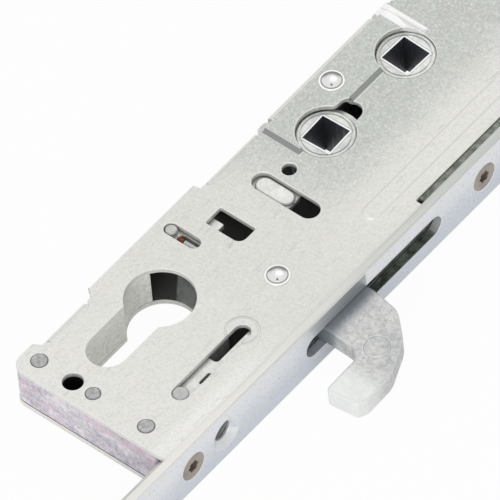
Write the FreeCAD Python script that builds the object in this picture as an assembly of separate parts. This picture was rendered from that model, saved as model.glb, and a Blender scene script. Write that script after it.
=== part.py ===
import FreeCAD, Part
import math
import os

# Centre gearbox of a multipoint door lock, lying on its back plate.
# +X points out of the faceplate, +Y points up the door, +Z out of the cover plate.
# The origin is the axis of the cylinder seat, at the middle of the case's thickness.
# Lengths are in millimetres and angles in degrees.

os.makedirs("parts", exist_ok=True)
Vector = FreeCAD.Vector

# Case and sheet metal
backset = 35.0
case_thickness = 13.5
sheet = 1.5
case_bottom = -36.8
case_top = 143.0
front_gap = 0.15
corner_tab_back = -15.5
corner_radius = 3.2
tab_back = -15.4
tab_low = -8.2
tab_high = 31.0
flange_back = -14.0
flange_foot_gap = 0.1
lower_flange_high = -11.7
middle_flange_low = 33.6
notch_back = -13.4
bend_radius = 1.7
cut_back_start = 59.0

# Faceplate and its screws
faceplate_width = 16.0
faceplate_thickness = 2.5
faceplate_bottom = -80.0
faceplate_top = 178.0
edge_break = 0.25
fixing_inset = 7.0
fixing_hole_radius = 2.6
fixing_sink_radius = 4.7
sink_depth = 1.6
torx_low_rise = 6.4
torx_high_y = 78.2
torx_head_radius = 3.9
torx_head_depth = 2.2
torx_head_below = 0.15
torx_shank_radius = 2.0
torx_hole_gap = 0.2
recess_radius = 1.75
recess_lobe_radius = 0.5
recess_depth = 1.5
cylinder_screw_y = -18.2
cylinder_screw_radius = 2.75
hook_slot_drop = 10.2
hook_slot_rise = 40.2
hook_slot_half = 3.1

# Spindles and cylinder
spindle_low = 62.0
spindle_high = 92.0
spindle_square = 8.1
square_turn = 2.0
hub_radius = 7.32
hub_clearance = 0.08
hub_below_face = 0.35
hub_groove_radius = 6.45
hub_groove_width = 0.4
hub_groove_depth = 0.35
collar_radius = 8.9
seat_radius = 8.75
seat_stem_half = 5.25
seat_bottom = -24.6

# Drive: the slide travels along +Y and turns the hook, the followers and the latch
travel = 22.9
hook_angle = 93.0
follower_angle = 54.0
latch_travel = 11.2
deadlock_travel = 6.8
layer_low = 3.4
layer_high = 4.95
wall_gap = 0.3
fit_gap = 0.01
pin_clearance = 0.12

rail_gap = 0.25
rail_thickness = 2.0
rail_half = 5.0
rail_wide_half = 6.6
rail_bottom = -66.0
rail_top_drop = 1.0
rail_step = 60.0
rail_notch_inset = 2.2
rail_notch_width = 2.4
rail_notch_depth = 1.6
rail_window_drop = 18.9
rail_window_rise = 18.6

slide_low = -24.5
slide_high = 86.0
slide_tab_high = -6.0
slide_wide_low = 46.0
slide_wide_reach = 16.8
slide_tab_reach = 16.4
slide_narrow_reach = 9.6
guide_pin_y = -19.1
guide_pin_radius = 2.05
guide_pin_below = 0.1
dash_place = (12.0, -11.3)
dash_half = 0.38
dash_half_length = 1.9

# Hook, measured from its pivot
hook_pivot_reach = 16.9
hook_pivot_y = 21.8
hook_thickness = 5.6
pivot_radius = 3.0
pivot_clearance = 0.06
washer_radius = 3.9
washer_clearance = 0.1
hook_pin_offset = 9.4
hook_pin_radius = 1.9
hook_tail_reach = 16.0
hook_tail_half = 5.7
hook_hub_radius = 7.4
hook_reach = 38.6
hook_drop = 17.4
hook_nose_inner = 28.4
hook_mouth_top = 3.4
hook_shoulder = (34.0, 5.2)
hook_crown_start = (27.4, 11.3)
hook_crown = 12.8
hook_crown_x = 18.4
hook_root_half = 6.2
hook_rim_break = 0.3
insert_radius = 3.25
insert_offset = (30.4, -0.25)

# Follower forks, the pins that drive them and the nose that draws the latch
fork_pin_reach = 13.0
fork_pin_radius = 2.0
fork_margin = 4.8
fork_half = 4.75
fork_root_half = 6.6
fork_thickness = 5.6
nose_radius = 1.8
nose_reach = 12.6
nose_gap = 0.72

# Latch
latch_low = 117.0
latch_high = 135.0
latch_half = 4.9
latch_stand = 10.5
latch_rear_reach = 15.5
latch_window_gap = 0.3
latch_bevel_start = 1.2
latch_tip_half = 2.9
tail_width = 3.15
tail_root = 10.0
tail_drop = 11.0
tail_bend_low = 112.0
tail_bend_high = 122.0
spring_axis_y = 128.0
spigot_radius = 1.7
spigot_back = 4.0
seat_face = -8.9
seat_flange = 1.6
seat_half = 4.2
latch_wire = 0.45
latch_coil_radius = 2.6
latch_turns = 5

# Deadlock slide, with its boss, pin and detent
deadlock_pin_place = (-11.2, 17.65)
deadlock_pin_radius = 1.55
deadlock_top_gap = 0.2
deadlock_back = -13.0
deadlock_upper_back = -11.6
deadlock_front = 6.3
deadlock_low = 10.5
deadlock_high = 45.6
deadlock_arch = (-5.2, 1.8, 14.8)
deadlock_nose = (33.0, 37.0)
deadlock_nose_gap = 5.0
deadlock_cut = (-7.6, -2.8, 22.8, 27.2, 31.0)
notch_gap = 0.5
boss_y = 41.8
boss_back = -4.7
boss_half = 2.35
boss_below = 0.9
detent_low = -9.2
detent_high = -2.4
detent_half = 1.35
plunger_radius = 0.75
plunger_low = -7.2
plunger_high = -3.2
detent_wire = 0.2
detent_coil_radius = 0.72
detent_turns = 3

# Return spring on its post
post_x = -8.4
post_rise = 12.5
bush_radius = 2.35
bush_clearance = 0.3
return_wire = 0.55
return_coil_radius = 3.1
return_pitch = 1.35
return_turns = 4
leg_stop = 8.25

# Pins and rivets
staked_pin_rise = 5.2
staked_pin_x = (-10.9, 5.6, 21.9)
staked_pin_radii = (2.15, 1.95, 2.15)
top_pin_drop = 3.6
top_pin_x = (-6.0, 20.0)
top_pin_radius = 2.15
pin_break = 0.25
rivet_ring_radius = 3.25
rivet_ring_height = 0.25
rivet_dome_radius = 2.7
rivet_dome_height = 0.75
rivet_shank_radius = 1.6

# Pressed shapes of the cover
raise_height = 1.2
raise_drop = 9.1
raise_rise = 8.9
raise_front = -0.9
raise_low_slope = 1.3
raise_high_slope = 2.8
raise_front_slope = 0.6
raise_wall = 0.8
rib_reach = 10.95
rib_half = 2.45
rib_low = 47.5
rib_high = 128.0
rib_height = 0.6
rib_slope = 0.45
rib_wall = 0.5
ring_outer = 4.35
ring_inner = 3.75
ring_height = 0.2

# Openings in the cover
long_slot_reach = 12.9
long_slot_half = 2.15
window = (-5.9, 4.95, 24.0, 29.7)
window_corner = 2.2
boss_slot = (-5.6, 14.1)
boss_slot_half = 2.75
oval_slot = (-13.0, -2.5)
oval_half = 1.75
small_hole = (-0.15, 48.4, 1.85)
block_hole = (-0.5, 2.6)
block_hole_rise = 5.1
block_hole_floor = 2.0
lobe_x = 0.2
lobe_half = 3.0
lobe_reach = 11.8

# Cast blocks
block_inset = 0.15
block_front_gap = 1.25
block_shelf = -26.6
block_side_reach = 17.8
block_top = 5.0
block_wall_gap = 0.1
top_block_gap = 1.0
screw_block_half = 4.4

# Sizes that follow from those above
half_case = case_thickness / 2
inner_face = half_case - sheet
faceplate_back = backset - faceplate_thickness
plate_front = faceplate_back - front_gap
rail_front = faceplate_back - rail_gap
rail_back = rail_front - rail_thickness
cut_back_front = rail_back - rail_gap
rail_top = case_top - rail_top_drop
half_hook = hook_thickness / 2
half_fork = fork_thickness / 2
hub_hole_radius = hub_radius + hub_clearance
hub_face = half_case - hub_below_face
hook_pivot_x = backset - hook_pivot_reach
hook_pin_x = hook_pivot_x + hook_pin_offset
hook_pivot = (hook_pivot_x, hook_pivot_y)
insert_place = (hook_pivot_x + insert_offset[0], hook_pivot_y + insert_offset[1])
fork_pin_x = backset - fork_pin_reach
fork_reach = fork_pin_x + fork_margin
long_slot_x = backset - long_slot_reach
slide_waist = hook_pivot_x + washer_radius + wall_gap
deadlock_nose_tip = slide_waist - deadlock_nose_gap
latch_rear = backset - latch_rear_reach
latch_reach = backset + latch_stand
half_follower = math.radians(follower_angle / 2)
nose_x = nose_reach * math.sin(half_follower)
tail_face = nose_x - nose_radius - nose_gap
screw_block_back = fork_reach * math.cos(half_follower) + fork_half * math.sin(half_follower) + wall_gap
torx_tip_x = screw_block_back + wall_gap
torx_y = (case_bottom + torx_low_rise, torx_high_y)
fixing_hole_y = (faceplate_bottom + fixing_inset, faceplate_top - fixing_inset)
staked_pin_y = case_bottom + staked_pin_rise
top_pin_y = case_top - top_pin_drop
post = (post_x, spindle_low + post_rise)
slot_top = guide_pin_y + travel
flange_fold = flange_back + bend_radius
wall_inside = flange_back + sheet + block_wall_gap
lower_flange = (case_bottom + 11.2, lower_flange_high)
middle_flange = (middle_flange_low, spindle_low - 10.0)
raised_flange = (spindle_low - 5.0, spindle_high + 3.0)
upper_flange = (spindle_high + 10.8, case_top - 5.0)


def box(x0, x1, y0, y1, z0, z1):
    return Part.makeBox(x1 - x0, y1 - y0, z1 - z0, Vector(x0, y0, z0))


def disc(x, y, radius, z0, z1):
    return Part.makeCylinder(radius, z1 - z0, Vector(x, y, z0))


def rod_x(y, z, radius, x0, x1):
    return Part.makeCylinder(radius, x1 - x0, Vector(x0, y, z), Vector(1, 0, 0))


def cone_x(y, z, x0, radius0, x1, radius1):
    return Part.makeCone(radius0, radius1, x1 - x0, Vector(x0, y, z), Vector(1, 0, 0))


def outline(corners, height=0.0):
    """Closed wire through corners given as (x, y) or (x, y, rounding radius)."""
    count = len(corners)
    starts = []
    ends = []
    mids = []
    for index in range(count):
        here = Vector(corners[index][0], corners[index][1], height)
        before = corners[index - 1]
        after = corners[(index + 1) % count]
        to_before = Vector(before[0], before[1], height).sub(here).normalize()
        to_after = Vector(after[0], after[1], height).sub(here).normalize()
        radius = corners[index][2] if len(corners[index]) > 2 else 0.0
        if radius <= 0:
            starts.append(here)
            ends.append(here)
            mids.append(None)
            continue
        half_turn = to_before.getAngle(to_after) / 2
        reach = radius / math.tan(half_turn)
        bisector = to_before.add(to_after).normalize()
        centre = here.add(bisector * (radius / math.sin(half_turn)))
        starts.append(here.add(to_before * reach))
        ends.append(here.add(to_after * reach))
        mids.append(centre.sub(bisector * radius))
    edges = []
    for index in range(count):
        if mids[index] is not None:
            edges.append(Part.Arc(starts[index], mids[index], ends[index]).toShape())
        following = (index + 1) % count
        if ends[index].distanceToPoint(starts[following]) > 1e-6:
            edges.append(Part.makeLine(ends[index], starts[following]))
    return Part.Wire(edges)


def prism(corners, z0, z1):
    face = Part.Face(outline(corners, z0))
    return face.extrude(Vector(0, 0, z1 - z0))


def rectangle(x0, x1, y0, y1, radius=0.0):
    return [(x0, y0, radius), (x1, y0, radius), (x1, y1, radius), (x0, y1, radius)]


def slot_y(x, y0, y1, half, z0, z1):
    """Round-ended slot along Y, y0 and y1 being its outer ends."""
    bar = box(x - half, x + half, y0 + half, y1 - half, z0, z1)
    return bar.fuse([disc(x, y0 + half, half, z0, z1), disc(x, y1 - half, half, z0, z1)])


def slot_x(y, x0, x1, half, z0, z1):
    bar = box(x0 + half, x1 - half, y - half, y + half, z0, z1)
    return bar.fuse([disc(x0 + half, y, half, z0, z1), disc(x1 - half, y, half, z0, z1)])


def slot_through_x(y0, y1, half, x0, x1):
    """Round-ended slot cut along X, running along Y."""
    bar = box(x0, x1, y0 + half, y1 - half, -half, half)
    return bar.fuse([rod_x(y0 + half, 0, half, x0, x1), rod_x(y1 - half, 0, half, x0, x1)])


def one_solid(shape):
    clean = shape.removeSplitter()
    solids = clean.Solids
    return solids[0] if len(solids) == 1 else Part.makeCompound(solids)


def write(name, shape):
    shape.exportStep("parts/" + name + ".step")


def turned(point, pivot, degrees):
    angle = math.radians(degrees)
    dx = point[0] - pivot[0]
    dy = point[1] - pivot[1]
    x = pivot[0] + dx * math.cos(angle) - dy * math.sin(angle)
    y = pivot[1] + dx * math.sin(angle) + dy * math.cos(angle)
    return (x, y)


def cam_slot(pivot, pin_x, angle, gap, reach, z0, z1, steps=16):
    """Opening in a turning piece for a pin that rides on the slide.

    The pin runs straight along Y while the piece turns at a constant rate, so
    its path in the piece is a curve. The wall is that curve set off by gap.
    """
    path = []
    for index in range(-1, steps + 2):
        share = index / steps
        pin = (pin_x, pivot[1] + travel * (share - 0.5))
        path.append(turned(pin, pivot, -angle * share))
    wall = []
    for index in range(1, steps + 2):
        along_x = path[index + 1][0] - path[index - 1][0]
        along_y = path[index + 1][1] - path[index - 1][1]
        length = math.hypot(along_x, along_y)
        wall_x = path[index][0] - along_y / length * gap
        wall_y = path[index][1] + along_x / length * gap
        wall.append(Vector(wall_x, wall_y, z0))
    centre_angle = math.radians(-angle / 2)
    outwards = Vector(math.cos(centre_angle), math.sin(centre_angle), 0) * reach
    curve = Part.BSplineCurve()
    curve.interpolate(wall)
    first = wall[0].add(outwards)
    last = wall[-1].add(outwards)
    edges = [curve.toShape()]
    edges.append(Part.makeLine(wall[-1], last))
    edges.append(Part.makeLine(last, first))
    edges.append(Part.makeLine(first, wall[0]))
    return Part.Face(Part.Wire(edges)).extrude(Vector(0, 0, z1 - z0))


def euro_profile(z0, z1):
    """Round seat with its stem, as a standard profile cylinder has."""
    stem = box(-seat_stem_half, seat_stem_half, seat_bottom + seat_stem_half, 0, z0, z1)
    foot = disc(0, seat_bottom + seat_stem_half, seat_stem_half, z0, z1)
    return disc(0, 0, seat_radius, z0, z1).fuse([stem, foot])


def sheet_outline():
    """Outline shared by the cover and the base, from the lower back corner round."""
    step = 1.2
    corners = [
        (corner_tab_back, case_bottom, corner_radius),
        (plate_front, case_bottom, 0.8),
        (plate_front, cut_back_start, 0.8),
        (cut_back_front, cut_back_start, 0.4),
        (cut_back_front, case_top, 1.5),
        (flange_back, case_top, 1.5),
    ]
    for low, high in (upper_flange, raised_flange):
        corners.append((flange_back, high + step))
        corners.append((flange_fold, high))
        corners.append((flange_fold, low))
        corners.append((flange_back, low - step))
    corners += [
        (flange_back, middle_flange[1] + step),
        (flange_fold, middle_flange[1]),
        (flange_fold, middle_flange[0]),
        (notch_back, middle_flange[0] - 0.6),
        (notch_back, tab_high + 0.4),
        (tab_back, tab_high, 0.4),
        (tab_back, tab_low, 0.4),
        (notch_back, tab_low - 1.0),
        (notch_back, lower_flange[1] + 0.8),
        (flange_fold, lower_flange[1]),
        (flange_fold, lower_flange[0]),
        (notch_back, lower_flange[0] - 0.8),
        (notch_back, lower_flange[0] - 2.0),
        (corner_tab_back, lower_flange[0] - 3.1, 1.0),
    ]
    return corners


def flange(y0, y1, back, top, bottom, fold):
    """Lip bent down from a sheet: flat, quarter bend and leg, drawn in XZ and run along Y."""
    inner = max(bend_radius - sheet, 0.0)
    middle = math.sqrt(0.5)
    centre_x = back + bend_radius
    centre_z = top - bend_radius
    outer_mid = Vector(centre_x - bend_radius * middle, y0, centre_z + bend_radius * middle)
    inner_mid = Vector(centre_x - inner * middle, y0, centre_z + inner * middle)
    top_edge = Vector(centre_x, y0, top)
    fold_top = Vector(fold + 0.5, y0, top)
    fold_low = Vector(fold + 0.5, y0, top - sheet)
    inner_top = Vector(centre_x, y0, top - sheet)
    inner_side = Vector(back + sheet, y0, centre_z)
    leg_inner = Vector(back + sheet, y0, bottom)
    leg_outer = Vector(back, y0, bottom)
    outer_side = Vector(back, y0, centre_z)
    edges = [
        Part.makeLine(fold_low, fold_top),
        Part.makeLine(fold_top, top_edge),
        Part.Arc(top_edge, outer_mid, outer_side).toShape(),
        Part.makeLine(outer_side, leg_outer),
        Part.makeLine(leg_outer, leg_inner),
        Part.makeLine(leg_inner, inner_side),
        Part.Arc(inner_side, inner_mid, inner_top).toShape(),
        Part.makeLine(inner_top, fold_low),
    ]
    return Part.Face(Part.Wire(edges)).extrude(Vector(0, y1 - y0, 0))


def loft(lower, z0, upper, z1):
    return Part.makeLoft([outline(lower, z0), outline(upper, z1)], True, True)


def raised_area(z0, inset, back):
    """Step up over the return spring, open towards the back edge."""
    low_y = spindle_low - raise_drop + inset
    high_y = spindle_high + raise_rise - inset
    front = raise_front - inset
    low = rectangle(back, front, low_y, high_y)
    high = rectangle(back, front - raise_front_slope, low_y + raise_low_slope, high_y - raise_high_slope)
    return loft(low, z0, high, z0 + raise_height)


def rib(z0, inset):
    """Long rib pressed up out of the sheet, with round ends."""
    middle = backset - rib_reach
    full_round = 0.98
    half = rib_half - inset
    low = rectangle(middle - half, middle + half, rib_low + inset, rib_high - inset, half * full_round)
    upper_half = half - rib_slope
    upper_low = rib_low + inset + rib_slope
    upper_high = rib_high - inset - rib_slope
    high = rectangle(middle - upper_half, middle + upper_half, upper_low, upper_high, upper_half * full_round)
    return loft(low, z0, high, z0 + rib_height)


def spindle_holes(z0, z1):
    low = disc(0, spindle_low, hub_hole_radius, z0, z1)
    return low.fuse(disc(0, spindle_high, hub_hole_radius, z0, z1))


def lobed_hole(z0, z1):
    """Lower spindle hole with its lobe, the two blended by fillets."""
    corner_rise = math.sqrt(hub_hole_radius ** 2 - (lobe_half - lobe_x) ** 2)
    straight = lobe_reach - lobe_half - corner_rise
    lobe = slot_y(lobe_x, spindle_low, spindle_low + lobe_reach, lobe_half, z0, z1)
    hole = disc(0, spindle_low, hub_hole_radius, z0, z1).fuse(lobe).removeSplitter()
    if straight < 0.3:
        return hole
    corners = []
    for edge in hole.Edges:
        middle = edge.CenterOfMass
        from_axis = math.hypot(middle.x, middle.y - spindle_low)
        if abs(middle.z - (z0 + z1) / 2) < 0.01 and abs(from_axis - hub_hole_radius) < 0.01 and middle.y > spindle_low + 1:
            corners.append(edge)
    return hole.makeFillet(straight * 1.3, corners)


def staked_holes(z0, z1):
    holes = []
    for x, radius in zip(staked_pin_x, staked_pin_radii):
        holes.append(disc(x, staked_pin_y, radius, z0, z1))
    return holes


def top_holes(z0, z1):
    return [disc(x, top_pin_y, top_pin_radius, z0, z1) for x in top_pin_x]


def fastener_holes(z0, z1):
    holes = staked_holes(z0, z1) + top_holes(z0, z1)
    holes.append(disc(hook_pivot_x, hook_pivot_y, rivet_shank_radius, z0, z1))
    holes.append(disc(post[0], post[1], rivet_shank_radius, z0, z1))
    return holes


def make_cover():
    plate = prism(sheet_outline(), inner_face, half_case)
    foot = -inner_face + flange_foot_gap
    lips = []
    for low, high in (lower_flange, middle_flange, upper_flange):
        lips.append(flange(low, high, flange_back, half_case, foot, flange_fold))
    lips.append(flange(raised_flange[0], raised_flange[1], flange_back, half_case + raise_height, foot, flange_fold))
    overlap = 0.01
    plate = plate.cut(raised_area(inner_face - overlap, raise_wall, flange_fold + 0.4))
    shell = raised_area(half_case - overlap, 0.0, flange_fold)
    plate = plate.fuse([shell] + lips)
    hollow = raised_area(inner_face, raise_wall, flange_back - 1)
    room = box(flange_back + sheet, 0, raised_flange[0] - 10, raised_flange[1] + 10, inner_face - 1, half_case + 1)
    plate = plate.cut(hollow.common(room))
    plate = plate.fuse(rib(half_case - overlap, 0.0))
    plate = plate.cut(rib(inner_face - overlap, rib_wall))
    ring = disc(long_slot_x, slot_top, ring_outer, half_case - ring_height, half_case + ring_height)
    ring = ring.cut(disc(long_slot_x, slot_top, ring_inner, half_case, half_case + ring_height))
    plate = plate.fuse(ring)
    low = inner_face - 0.5
    high = half_case + raise_height + 0.5
    tools = fastener_holes(low, high)
    tools.append(disc(0, spindle_high, hub_hole_radius, low, high))
    tools.append(lobed_hole(low, high))
    tools.append(euro_profile(low, high))
    slot_ends = (guide_pin_y - long_slot_half, slot_top + long_slot_half)
    tools.append(slot_y(long_slot_x, slot_ends[0], slot_ends[1], long_slot_half, low, high))
    back, front, bottom, top = window
    frame = [(back, bottom, 0.4), (front, bottom, window_corner), (front, top, 0.4), (back, top, 0.4)]
    tools.append(prism(frame, low, high))
    tools.append(slot_x(boss_y, boss_slot[0], boss_slot[1], boss_slot_half, low, high))
    tools.append(slot_x(deadlock_pin_place[1], oval_slot[0], oval_slot[1], oval_half, low, high))
    tools.append(disc(small_hole[0], small_hole[1], small_hole[2], low, high))
    tools.append(disc(block_hole[0], case_bottom + block_hole_rise, block_hole[1], low, high))
    return one_solid(plate.cut(tools))


def make_base():
    plate = prism(sheet_outline(), -half_case, -inner_face)
    margin = 1.3
    fillers = []
    for low, high in (lower_flange, middle_flange, raised_flange, upper_flange):
        fillers.append(box(flange_back, flange_fold + 0.2, low - margin, high + margin, -half_case, -inner_face))
    inset = 0.4
    tab_fold = tab_back + bend_radius
    wall = flange(tab_low + inset, tab_high - inset, tab_back, half_case, -inner_face, tab_fold)
    wall = wall.mirror(Vector(0, 0, 0), Vector(0, 0, 1))
    corner_cut = box(tab_back - 1, tab_fold, tab_low - 0.5, tab_high + 0.5, -half_case - 1, 0)
    plate = plate.fuse(fillers).cut(corner_cut).fuse(wall)
    low = -half_case - 0.5
    high = -inner_face + 0.5
    tools = fastener_holes(low, high)
    tools.append(spindle_holes(low, high))
    tools.append(euro_profile(low, high))
    return one_solid(plate.cut(tools))


def make_end_block():
    """Cast block at the bottom, which guides the cylinder and takes the lower screw."""
    bottom = case_bottom + block_inset
    back = corner_tab_back + block_inset
    front = rail_back - block_front_gap
    side = backset - block_side_reach
    corners = [
        (back, bottom, corner_radius - block_inset),
        (front, bottom, 0.8),
        (front, block_shelf, 1.0),
        (side, block_shelf, 1.5),
        (side, block_top, 1.5),
        (wall_inside, block_top, 1.5),
        (wall_inside, lower_flange[0] - 2.0),
        (back, lower_flange[0] - 3.2, 1.0),
    ]
    block = prism(corners, -inner_face, inner_face)
    tools = staked_holes(-half_case, half_case)
    tools.append(euro_profile(-half_case, half_case))
    hole_floor = -inner_face + block_hole_floor
    tools.append(disc(block_hole[0], case_bottom + block_hole_rise, block_hole[1], hole_floor, half_case))
    tools.append(rod_x(cylinder_screw_y, 0, cylinder_screw_radius, 0, side + 1))
    tools.append(rod_x(torx_y[0], 0, torx_shank_radius, torx_tip_x, front + 1))
    return one_solid(block.cut(tools))


def make_top_block():
    low = latch_high + top_block_gap
    corners = rectangle(wall_inside, cut_back_front - wall_gap, low, case_top - 0.4, 1.0)
    block = prism(corners, -inner_face, inner_face)
    return one_solid(block.cut(top_holes(-half_case, half_case)))


def make_screw_block():
    front = rail_back - wall_gap
    low = torx_high_y - screw_block_half
    high = torx_high_y + screw_block_half
    block = box(screw_block_back, front, low, high, -inner_face, inner_face)
    return one_solid(block.cut(rod_x(torx_high_y, 0, torx_shank_radius, screw_block_back - 1, front + 1)))


def make_faceplate():
    half = faceplate_width / 2
    plate = box(faceplate_back, backset, faceplate_bottom, faceplate_top, -half, half)
    long_edges = []
    for edge in plate.Edges:
        middle = edge.CenterOfMass
        if abs(middle.x - backset) < 1e-6 or abs(middle.z) < 1e-6:
            long_edges.append(edge)
    plate = plate.makeChamfer(edge_break, long_edges)
    low = faceplate_back - 1
    high = backset + 1
    tools = [slot_through_x(hook_pivot_y - hook_slot_drop, hook_pivot_y + hook_slot_rise, hook_slot_half, low, high)]
    gap = latch_window_gap
    tools.append(box(low, high, latch_low - gap, latch_high + gap, -latch_half - gap, latch_half + gap))
    hole = torx_shank_radius + torx_hole_gap
    for y in torx_y:
        tools.append(rod_x(y, 0, hole, low, high))
        tools.append(cone_x(y, 0, backset - torx_head_depth, hole, backset, torx_head_radius + 0.1))
    for y in fixing_hole_y:
        tools.append(rod_x(y, 0, fixing_hole_radius, low, high))
        tools.append(cone_x(y, 0, backset - sink_depth, fixing_hole_radius, backset, fixing_sink_radius))
    tools.append(rod_x(cylinder_screw_y, 0, cylinder_screw_radius, low, high))
    tools.append(cone_x(cylinder_screw_y, 0, backset - sink_depth, cylinder_screw_radius, backset, fixing_sink_radius))
    return one_solid(plate.cut(tools))


def make_torx(y):
    """Countersunk screw with a six-lobed recess."""
    head_top = backset - torx_head_below
    head_low = backset - torx_head_depth
    head = cone_x(y, 0, head_low, torx_shank_radius, head_top, torx_head_radius)
    shank = rod_x(y, 0, torx_shank_radius - 2 * fit_gap, torx_tip_x + torx_hole_gap, head_low)
    floor = backset - recess_depth
    lobe_reach_out = recess_radius - recess_lobe_radius
    tools = [rod_x(y, 0, lobe_reach_out + 0.15, floor, backset)]
    for index in range(6):
        angle = math.radians(60 * index)
        across = y + lobe_reach_out * math.cos(angle)
        up = lobe_reach_out * math.sin(angle)
        tools.append(rod_x(across, up, recess_lobe_radius, floor, backset))
    return one_solid(head.fuse(shank).cut(tools))


def broken_pin(x, y, radius, z0, z1):
    """Pin with its upper rim broken."""
    pin = disc(x, y, radius, z0, z1)
    return pin.makeChamfer(pin_break, [pin.Edges[0]])


def make_staked_pins():
    pins = []
    for x, radius in zip(staked_pin_x, staked_pin_radii):
        pins.append(broken_pin(x, staked_pin_y, radius - fit_gap, -half_case, half_case))
    for x in top_pin_x:
        pins.append(broken_pin(x, top_pin_y, top_pin_radius - fit_gap, -half_case, half_case))
    return Part.makeCompound(pins)


def dome(x, y, z, radius, height):
    """Cap of a ball that stands height over z."""
    ball_radius = (radius * radius + height * height) / (2 * height)
    ball = Part.makeSphere(ball_radius, Vector(x, y, z + height - ball_radius))
    return ball.common(disc(x, y, radius + 1, z, z + height + 1))


def make_rivet(place, top, body_radius):
    x, y = place
    ring = disc(x, y, rivet_ring_radius, top, top + rivet_ring_height)
    ring = ring.makeChamfer(rivet_ring_height / 2, [ring.Edges[0]])
    head = dome(x, y, top + rivet_ring_height - 0.05, rivet_dome_radius, rivet_dome_height)
    neck = disc(x, y, rivet_shank_radius - fit_gap, -half_case, top + rivet_ring_height / 2)
    body = disc(x, y, body_radius, -inner_face, inner_face)
    return one_solid(ring.fuse([head, neck, body]))


def make_rail():
    lower = box(rail_back, rail_front, rail_bottom, rail_step + 1, -rail_half, rail_half)
    upper = box(rail_back, rail_front, rail_step, rail_top, -rail_wide_half, rail_wide_half)
    low = rail_back - 1
    high = rail_front + 1
    screw_half = cylinder_screw_radius + wall_gap
    slot_low = torx_y[0] - travel - screw_half - wall_gap
    tools = [slot_through_x(slot_low, cylinder_screw_y + screw_half, screw_half, low, high)]
    shank_half = torx_shank_radius + wall_gap
    tools.append(slot_through_x(torx_high_y - travel - shank_half, torx_high_y + shank_half, shank_half, low, high))
    hook_half = half_hook + wall_gap
    window_low = hook_pivot_y - rail_window_drop
    window_high = hook_pivot_y + rail_window_rise
    tools.append(box(low, high, window_low, window_high, -hook_half, hook_half))
    latch_room = latch_half + wall_gap
    tools.append(box(low, high, latch_low - travel - wall_gap, latch_high + wall_gap, -latch_room, latch_room))
    near = rail_notch_inset
    far = rail_notch_inset + rail_notch_width
    for side in (-1, 1):
        inner = (rail_half - rail_notch_depth) * side
        outer = (rail_half + 1) * side
        tools.append(box(low, high, rail_bottom + near, rail_bottom + far, min(inner, outer), max(inner, outer)))
        inner = (rail_wide_half - rail_notch_depth) * side
        outer = (rail_wide_half + 1) * side
        tools.append(box(low, high, rail_top - far, rail_top - near, min(inner, outer), max(inner, outer)))
    return one_solid(lower.fuse(upper).cut(tools))


def slide_outline():
    """One plate of the drive slide, cut back round the hook's washers."""
    tab = backset - slide_tab_reach
    wide = backset - slide_wide_reach
    narrow = backset - slide_narrow_reach
    return [
        (tab, slide_low, 1.5),
        (rail_back, slide_low, 1.0),
        (rail_back, slide_wide_low - 1.0, 1.0),
        (narrow, slide_wide_low + 3.0, 1.0),
        (narrow, slide_high, 1.5),
        (wide, slide_high, 1.5),
        (wide, slide_wide_low, 1.0),
        (slide_waist, slide_wide_low, 1.0),
        (slide_waist, slide_tab_high, 1.0),
        (tab, slide_tab_high, 1.0),
    ]


def make_slide_plate(z0, z1, upper):
    plate = prism(slide_outline(), z0, z1)
    tools = []
    if upper:
        tip = deadlock_nose_tip + deadlock_travel + notch_gap
        for shift in (0.0, -travel):
            low = deadlock_nose[0] + shift - notch_gap
            high = deadlock_nose[1] + shift + notch_gap
            tools.append(prism(rectangle(slide_waist - 3, tip, low, high, 0.6), z0 - 1, z1 + 1))
        tools.append(disc(long_slot_x, guide_pin_y, guide_pin_radius - wall_gap, z0 - 1, z1 + 1))
        dash_x = backset - dash_place[0]
        dash_low = dash_place[1] - dash_half_length
        dash_high = dash_place[1] + dash_half_length
        tools.append(slot_y(dash_x, dash_low, dash_high, dash_half, z0 - 1, z1 + 1))
    tools.append(disc(hook_pin_x, hook_pivot_y - travel / 2, hook_pin_radius, z0 - 1, z1 + 1))
    for y in (spindle_low, spindle_high):
        tools.append(disc(fork_pin_x, y - travel / 2, fork_pin_radius, z0 - 1, z1 + 1))
    return one_solid(plate.cut(tools))


def make_guide_pin():
    head = broken_pin(long_slot_x, guide_pin_y, guide_pin_radius, layer_high, half_case - guide_pin_below)
    neck_radius = guide_pin_radius - wall_gap - fit_gap
    return one_solid(head.fuse(disc(long_slot_x, guide_pin_y, neck_radius, layer_low, layer_high)))


def make_fork_pins():
    pins = []
    for y in (spindle_low, spindle_high):
        pins.append(disc(fork_pin_x, y - travel / 2, fork_pin_radius - fit_gap, -layer_high, layer_high))
    return Part.makeCompound(pins)


def hub(y):
    """Round hub with a collar inside the case and a turned groove round its face."""
    body = disc(0, y, hub_radius, -hub_face, hub_face)
    body = body.makeChamfer(hub_groove_depth, [edge for edge in body.Edges if edge.Closed])
    body = body.fuse(disc(0, y, collar_radius, -layer_high, layer_high))
    groove = disc(0, y, hub_groove_radius, hub_face - hub_groove_depth, hub_face + 1)
    groove = groove.cut(disc(0, y, hub_groove_radius - hub_groove_width, hub_face - 1, hub_face + 2))
    return body.cut(groove)


def square_bore(y, turn):
    half = spindle_square / 2
    bore = box(-half, half, y - half, y + half, -half_case, half_case)
    bore.rotate(Vector(0, y, 0), Vector(0, 0, 1), turn)
    return bore


def placed_at_rest(arm, y):
    arm.rotate(Vector(0, 0, 0), Vector(0, 0, 1), -follower_angle / 2)
    arm.translate(Vector(0, y, 0))
    return arm


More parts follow.
